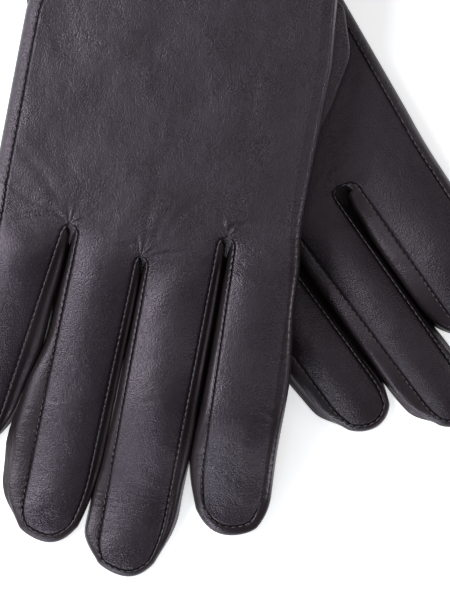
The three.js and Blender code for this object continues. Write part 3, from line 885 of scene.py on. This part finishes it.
def cut_shell(shell, glove, ending, materials):
    """One object for each owner in the shell, with normals that match across the cuts."""
    local, faces, normals = shell.merged()
    points, normals = to_row(glove, local), turn_to_row(glove, normals)
    wrinkle = wrinkle_mask(glove, local)
    owner, material = np.array(shell.owner), np.array(shell.material)
    made = {}
    for name in sorted(set(shell.owner)):
        mine = owner == name
        keep = faces[mine]
        ordered = np.sort(keep, axis=1)
        whole = (np.diff(ordered, axis=1) > 0).all(axis=1)
        used, back = np.unique(keep[whole], return_inverse=True)
        made[name] = mesh_object(
            f"{name}_{ending}", points[used], back.reshape(-1, 4), normals[used], materials,
            material[mine][whole], local[used], wrinkle[used])
    return made


# ---- Materials ----
class Recipe:
    """Builds a material's nodes on the glove's own millimetres."""

    def __init__(self, name):
        self.material = bpy.data.materials.new(name)
        self.material.use_nodes = True
        self.nodes = self.material.node_tree.nodes
        self.links = self.material.node_tree.links
        self.shader = self.nodes["Principled BSDF"]
        self.place = self.attribute("place", "Vector")

    def attribute(self, name, output):
        node = self.nodes.new("ShaderNodeAttribute")
        node.attribute_name = name
        return node.outputs[output]

    def stretched(self, scale):
        node = self.nodes.new("ShaderNodeMapping")
        node.inputs["Scale"].default_value = scale
        self.links.new(self.place, node.inputs["Vector"])
        return node.outputs["Vector"]

    def noise(self, scale, detail=3.0, roughness=0.5, vector=None):
        node = self.nodes.new("ShaderNodeTexNoise")
        node.inputs["Scale"].default_value = scale
        node.inputs["Detail"].default_value = detail
        node.inputs["Roughness"].default_value = roughness
        self.links.new(vector or self.place, node.inputs["Vector"])
        return node.outputs["Fac"]

    def cells(self, scale, feature="F1", randomness=1.0, vector=None):
        node = self.nodes.new("ShaderNodeTexVoronoi")
        node.feature = feature
        node.inputs["Scale"].default_value = scale
        node.inputs["Randomness"].default_value = randomness
        self.links.new(vector or self.place, node.inputs["Vector"])
        return node.outputs["Distance"]

    def math(self, operation, a, b):
        node = self.nodes.new("ShaderNodeMath")
        node.operation = operation
        for k, value in enumerate((a, b)):
            if isinstance(value, (int, float)):
                node.inputs[k].default_value = value
            else:
                self.links.new(value, node.inputs[k])
        return node.outputs[0]

    def total(self, *parts):
        """The sum of (height, millimetres) parts."""
        whole = None
        for height, amount in parts:
            part = self.math("MULTIPLY", height, amount)
            whole = part if whole is None else self.math("ADD", whole, part)
        return whole

    def span(self, value, low, high, from_low=0.3, from_high=0.7):
        node = self.nodes.new("ShaderNodeMapRange")
        node.inputs["From Min"].default_value = from_low
        node.inputs["From Max"].default_value = from_high
        node.inputs["To Min"].default_value = low
        node.inputs["To Max"].default_value = high
        self.links.new(value, node.inputs["Value"])
        return node.outputs["Result"]

    def color(self, value, dark, light):
        node = self.nodes.new("ShaderNodeValToRGB")
        node.color_ramp.elements[0].position = 0.3
        node.color_ramp.elements[1].position = 0.7
        node.color_ramp.elements[0].color = (*dark, 1)
        node.color_ramp.elements[1].color = (*light, 1)
        self.links.new(value, node.inputs["Fac"])
        self.links.new(node.outputs["Color"], self.shader.inputs["Base Color"])

    def roughness(self, value):
        self.links.new(value, self.shader.inputs["Roughness"])

    def bump(self, height):
        node = self.nodes.new("ShaderNodeBump")
        node.inputs["Strength"].default_value = 1.0
        node.inputs["Distance"].default_value = MM
        self.links.new(height, node.inputs["Height"])
        self.links.new(node.outputs["Normal"], self.shader.inputs["Normal"])


def leather_material(name, dark, light, rough, grain=1.0, shine=0.5):
    """Smooth nappa: fine pebbled grain, soft wrinkles along it and patches of wrinkles across."""
    recipe = Recipe(name)
    tone = recipe.total((recipe.noise(0.055, 4), 0.75), (recipe.noise(1.1, 3), 0.25))
    recipe.color(tone, dark, light)
    pebble = recipe.cells(2.4)
    polish = recipe.total((recipe.noise(0.09, 3), 0.7), (pebble, 0.35))
    recipe.roughness(recipe.span(polish, rough - 0.06, rough + 0.10))
    across = recipe.noise(1.0, 2, 0.5, recipe.stretched((0.22, 1.15, 0.4)))
    crossed = recipe.math("MULTIPLY", across, recipe.attribute("wrinkle", "Fac"))
    lengthwise = recipe.noise(1.0, 3, 0.55, recipe.stretched((0.8, 0.14, 0.5)))
    recipe.shader.inputs["Specular IOR Level"].default_value = shine
    recipe.shader.inputs["Specular Tint"].default_value = (1.0, 0.88, 0.99, 1)
    recipe.bump(recipe.total(
        (pebble, -0.11 * grain), (recipe.noise(2.0, 3, 0.6), 0.10 * grain),
        (recipe.noise(0.35, 2, 0.5), 0.08 * grain), (recipe.noise(0.12, 2, 0.5), 0.50 * grain),
        (crossed, 0.34), (lengthwise, 0.03 * grain)))
    return recipe.material


def knit_material():
    """Fine knitted lining: rows of small loops."""
    recipe = Recipe("lining_knit")
    tone = recipe.noise(0.8, 3)
    recipe.color(tone, (0.010, 0.010, 0.012), (0.026, 0.026, 0.030))
    loops = recipe.cells(1.0, "F1", 0.25, recipe.stretched((1.2, 0.9, 1.2)))
    recipe.roughness(recipe.span(tone, 0.8, 0.95))
    recipe.bump(recipe.total((loops, -0.35), (recipe.noise(4.0, 2), 0.06)))
    recipe.shader.inputs["Sheen Weight"].default_value = 0.3
    return recipe.material


def thread_material():
    """Twisted sewing thread."""
    recipe = Recipe("sewing_thread")
    twist = recipe.noise(1.0, 2, 0.5, recipe.stretched((5.0, 5.0, 5.0)))
    recipe.color(twist, (0.040, 0.036, 0.038), (0.110, 0.102, 0.104))
    recipe.roughness(recipe.span(twist, 0.4, 0.6))
    recipe.bump(recipe.total((twist, 0.06)))
    return recipe.material


NAPPA = leather_material("nappa", (0.0085, 0.0060, 0.0085), (0.0230, 0.0170, 0.0230), 0.27)
# The lower glove is the same nappa; its darker colours and weaker shine are painted shade for a glove lying
# beneath the other and tilted from the light.
PAINTED_SHADE_NAPPA = leather_material("painted_shade_nappa", (0.0080, 0.0056, 0.0068), (0.0180, 0.0132, 0.0160), 0.32, 1.0, 0.36)
# Leather of the side walls and of the folds at the slot ends: darker, warmer and less shiny than the upper
# leather, as painted shade for these steep, sunken parts.
SIDE = leather_material("side_nappa_painted_shade", (0.0085, 0.0060, 0.0066), (0.0170, 0.0125, 0.0135), 0.29, 0.5, 0.42)
HEM = leather_material("hem_nappa", (0.0080, 0.0068, 0.0080), (0.0170, 0.0145, 0.0160), 0.55)
KNIT = knit_material()
THREAD_MATERIAL = thread_material()


# ---- The gloves ----
def attach(glove, piece, key, slot_name, *nodes):
    """Hides the piece's CAD nodes; the piece follows the hand's body if it has no body of its own, else it
    stays in place unattached.
    """
    name = glove["name"]
    if nodes:
        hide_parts(*nodes)
    body = f"{name}_{key}"
    if key == "hand" or body not in frame["bodies"]:
        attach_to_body(piece, name + "_hand")
        return
    if key == "thumb":
        start, end = glove["thumb_bend"]
    else:
        middle = glove["fingers"][key]["root"][0]
        start, end = ((middle, y) for y in glove["bend"])
    a, b = to_row(glove, [[*start, glove["base"]], [*end, glove["base"]]])
    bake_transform(piece)


def add_pieces(shell, glove, ending, materials, slot_name, nodes_of=None):
    """Cuts the shell into pieces; each piece with no body of its own follows the hand's."""
    for owner, piece in cut_shell(shell, glove, ending, materials).items():
        key = owner.split("_")[1]
        attach(glove, piece, key, slot_name, *(nodes_of(key) if nodes_of else ()))


def strip_nodes(glove, key):
    """The CAD nodes of leather that a skin stands for."""
    name = glove["name"]
    if key == "hand":
        return [name + "_hand_back", name + "_hand_palm"]
    if key == "thumb":
        return [name + "_thumb"]
    return [node for node in frame["nodes"] if node.startswith(f"{name}_{key}_")]


def make_skin(glove, thread):
    """All the outer leather of a glove. Returns the ring at the cuff."""
    name = glove["name"]
    shell = Shell()
    cuff, hem_line, seams = make_hand(shell, glove)
    for side, line in seams.items():
        facing = np.tile([-1.0 if side == "left" else 1.0, 0.0], (len(line), 1))
        stitches(thread, name + "_hand", line, facing)
    stitches(thread, name + "_hand", hem_line, np.zeros((len(hem_line), 2)), 0.0, 0.1)
    for slot_index in range(3):
        make_web(shell, glove, slot_index)
    for i in range(4):
        line, facing = make_finger(shell, glove, i)
        stitches(thread, f"{name}_{ORDER[i]}", line, facing)
    # Walls and slot folds take the side leather, which carries painted shade.
    add_pieces(
        shell, glove, "leather", [glove["nappa"], SIDE], "nappa_leather", lambda key: strip_nodes(glove, key))
    return cuff


def make_thumb(glove):
    name = glove["name"]
    shell = Shell()
    tube(shell, name + "_thumb", glove["thumb"], seam=glove["thumb_seam"], closed_start=True)
    add_pieces(shell, glove, "leather", [glove["nappa"]], "nappa_leather", lambda key: [name + "_thumb"])


def make_linings(glove):
    name = glove["name"]
    shell = Shell()
    tube(shell, name + "_hand", hand_lining(glove), inset=LINING_INSET)
    tube(shell, name + "_thumb", glove["thumb"][1:], inset=LINING_INSET * 0.8)
    for i in range(4):
        tube(shell, f"{name}_{ORDER[i]}", finger_lining(glove, i), inset=LINING_INSET)
    add_pieces(shell, glove, "lining", [KNIT], "lining", lambda key: [f"{name}_lining_{key}"])


def make_glove(glove):
    glove["placement"] = placement(glove)
    name = glove["name"]
    thread = Shell()
    cuff = make_skin(glove, thread)
    add_pieces(thread, glove, "thread", [THREAD_MATERIAL], "nappa_leather")
    hem = Shell()
    make_hem(hem, cuff, name + "_hand")
    add_pieces(hem, glove, "cuff_hem", [HEM], "hem_leather", lambda key: [name + "_cuff_hem"])
    make_thumb(glove)
    make_linings(glove)


# The lower glove takes the copy of the nappa with painted shade.
for one, leather in ((LEFT, PAINTED_SHADE_NAPPA), (RIGHT, NAPPA)):
    one["nappa"] = leather
    make_glove(one)


# ---- Floor, light and camera, in metres ----
FLOOR_GAP = 0.0002      # the floor lies this far below the gloves
FLOOR_GLOW = 0.52       # keeps the paper white under weak lamps
SKY = 0.17              # strength of the even light from all round
CAMERA_HEIGHT = 1.5
SHARP_HEIGHT = 0.02     # the height that the frame is measured at
FRAME_LONG = 0.177      # how much of that height the picture's long side takes in
FRAME_CENTRE = (24.7, -18.4)    # from the upper glove's origin to the middle of the frame, in mm
SENSOR = 36             # mm


def make_floor():
    bpy.ops.mesh.primitive_plane_add(size=6)
    floor = bpy.context.object
    floor.name = "floor"
    floor.location.z = -FLOOR_GAP
    material = bpy.data.materials.new("paper")
    material.use_nodes = True
    shader = material.node_tree.nodes["Principled BSDF"]
    shader.inputs["Base Color"].default_value = (0.94, 0.94, 0.94, 1)
    shader.inputs["Roughness"].default_value = 0.9
    shader.inputs["Emission Color"].default_value = (1, 1, 1, 1)
    shader.inputs["Emission Strength"].default_value = FLOOR_GLOW
    floor.data.materials.append(material)


def area_light(name, location, target, size, power, color=(1, 1, 1)):
    data = bpy.data.lights.new(name, "AREA")
    data.shape = "RECTANGLE"
    data.size, data.size_y = size
    data.energy = power
    data.color = color
    light = bpy.data.objects.new(name, data)
    light.location = location
    light.rotation_mode = "QUATERNION"
    light.rotation_quaternion = (Vector(target) - Vector(location)).to_track_quat("-Z", "Y")
    bpy.context.scene.collection.objects.link(light)


def make_light():
    world = bpy.data.worlds.new("studio")
    world.use_nodes = True
    background = world.node_tree.nodes["Background"]
    background.inputs["Color"].default_value = (0.97, 0.98, 1.0, 1)
    background.inputs["Strength"].default_value = SKY
    bpy.context.scene.world = world
    area_light("key", (-1.05, 0.1, 0.8), (0, 0, 0), (0.9, 0.9), 24, (0.92, 0.93, 1.0))
    area_light("top", (0.1, 0.15, 2.2), (0, 0, 0), (1.3, 1.5), 9.5, (0.96, 0.97, 1.0))
    area_light("front", (-0.5, -1.3, 0.4), (0, -0.05, 0), (0.7, 0.35), 9, (0.84, 0.91, 1.0))
    area_light("right", (1.1, 0.1, 0.6), (0, 0, 0), (0.5, 0.5), 2)


def make_camera():
    """A camera straight above, framing the fingers and the lower part of the hands."""
    origin, _ = RIGHT["placement"]
    centre = (origin + np.array(FRAME_CENTRE)) * MM
    data = bpy.data.cameras.new("camera")
    data.sensor_fit = "AUTO"
    data.sensor_width = SENSOR
    data.lens = SENSOR * (CAMERA_HEIGHT - SHARP_HEIGHT) / FRAME_LONG
    camera = bpy.data.objects.new("camera", data)
    camera.location = (centre[0], centre[1], CAMERA_HEIGHT)
    bpy.context.scene.collection.objects.link(camera)
    bpy.context.scene.camera = camera


make_floor()
make_light()
make_camera()
bpy.context.scene.view_settings.view_transform = "Standard"
